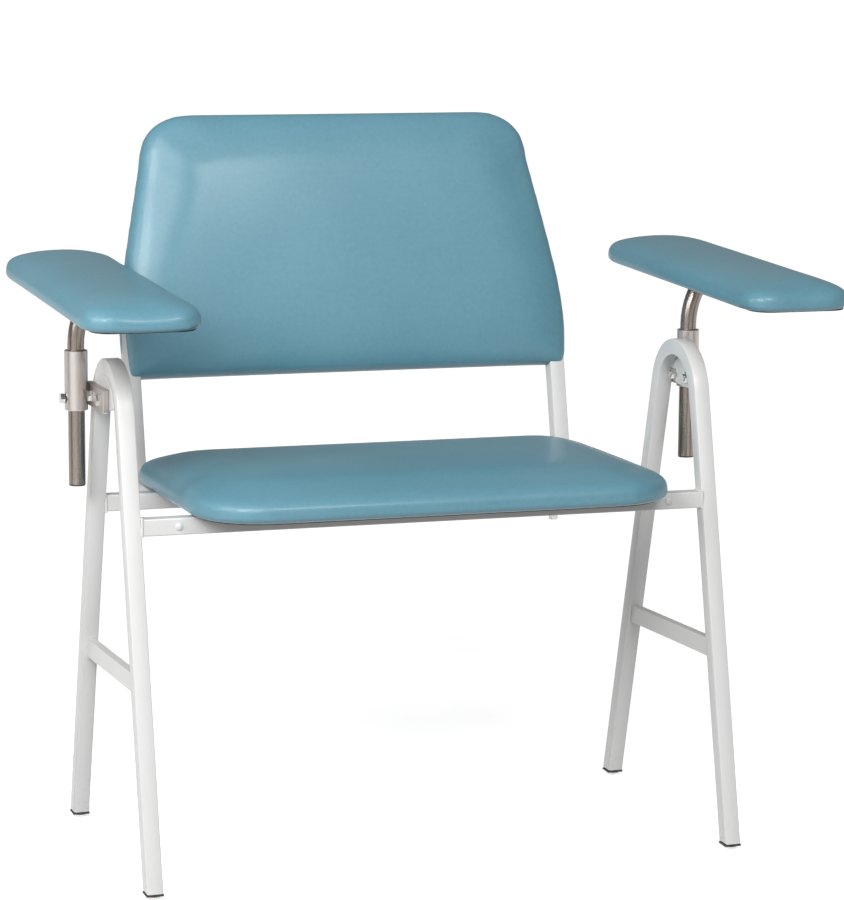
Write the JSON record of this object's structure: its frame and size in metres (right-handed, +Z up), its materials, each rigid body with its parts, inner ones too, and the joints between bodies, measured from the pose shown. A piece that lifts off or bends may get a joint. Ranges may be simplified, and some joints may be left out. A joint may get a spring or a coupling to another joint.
{
  "type": "extra-wide blood-draw chair",
  "caption": "Extra-wide blood-draw chair with arched square-tube side frames, vinyl seat and back, and padded armrests on posts that lift and swing in clamped sleeves.",
  "frame": {"origin": "on the floor, under the centre of the chair's outline with both armrests at rest", "axes": "+X to the right of a viewer who faces the chair, +Y to the back, +Z up"},
  "size_m": [0.934, 0.5101, 0.8665],
  "materials": {
    "frame_paint": "satin, off-white powder coat",
    "vinyl": "satin blue-green upholstery vinyl",
    "nickel_tube": "bright-drawn, warm nickel tone",
    "zinc": "zinc plated",
    "black_plastic": "matte",
    "board_cover": "plywood with a dark dust cover"
  },
  "bodies": {
    "frame": {"arm_bracket_left": "nickel_tube", "arm_bracket_right": "nickel_tube", "arm_sleeve_left": "nickel_tube", "arm_sleeve_right": "nickel_tube", "back_pad": "vinyl", "back_upright_left": "frame_paint", "back_upright_right": "frame_paint", "end_cap_front_left": "black_plastic", "end_cap_front_right": "black_plastic", "end_cap_rear_left": "black_plastic", "end_cap_rear_right": "black_plastic", "flange_bolt_left_1": "zinc", "flange_bolt_left_2": "zinc", "flange_bolt_right_1": "zinc", "flange_bolt_right_2": "zinc", "flange_nut_left_1": "zinc", "flange_nut_left_2": "zinc", "flange_nut_right_1": "zinc", "flange_nut_right_2": "zinc", "front_seat_rail": "frame_paint", "glide_front_left": "zinc", "glide_front_right": "zinc", "glide_rear_left": "zinc", "glide_rear_right": "zinc", "gusset_plate_left": "frame_paint", "gusset_plate_right": "frame_paint", "rail_screw_left": "frame_paint", "rail_screw_right": "frame_paint", "rear_seat_rail": "frame_paint", "seat_board": "board_cover", "seat_bolt_front": "zinc", "seat_bolt_rear_left": "zinc", "seat_bolt_rear_right": "zinc", "seat_pad": "vinyl", "side_frame_left": "frame_paint", "side_frame_right": "frame_paint", "stretcher_left": "frame_paint", "stretcher_right": "frame_paint"},
    "lift_left": {"post_plug_left": "black_plastic"},
    "lift_right": {"post_plug_right": "black_plastic"},
    "arm_left": {"arm_post_left": "nickel_tube", "arm_plate_left": "nickel_tube", "arm_board_left": "board_cover", "arm_pad_left": "vinyl"},
    "arm_right": {"arm_post_right": "nickel_tube", "arm_plate_right": "nickel_tube", "arm_board_right": "board_cover", "arm_pad_right": "vinyl"},
    "clamp_left": {"clamp_bolt_left": "zinc"},
    "clamp_right": {"clamp_bolt_right": "zinc"}
  },
  "joints": [
    {"name": "arm_lift_left", "type": "slide", "parent": "frame", "child": "lift_left", "axis": [0, 0, 1], "range_m": [-0.004, 0.085]},
    {"name": "arm_swing_left", "type": "hinge", "parent": "lift_left", "child": "arm_left", "pos_m": [-0.4255, -0.0059, 0.57], "axis": [0, 0, 1], "range_deg": [-1, 90]},
    {"name": "clamp_turn_left", "type": "hinge", "parent": "frame", "child": "clamp_left", "pos_m": [-0.441, -0.0059, 0.548], "axis": [-1, 0, 0], "range_deg": [0, 360]},
    {"name": "arm_lift_right", "type": "slide", "parent": "frame", "child": "lift_right", "axis": [0, 0, 1], "range_m": [-0.004, 0.085]},
    {"name": "arm_swing_right", "type": "hinge", "parent": "lift_right", "child": "arm_right", "pos_m": [0.3535, -0.0059, 0.57], "axis": [0, 0, 1], "range_deg": [-90, 15]},
    {"name": "clamp_turn_right", "type": "hinge", "parent": "frame", "child": "clamp_right", "pos_m": [0.369, -0.0059, 0.548], "axis": [1, 0, 0], "range_deg": [0, 360]}
  ]
}
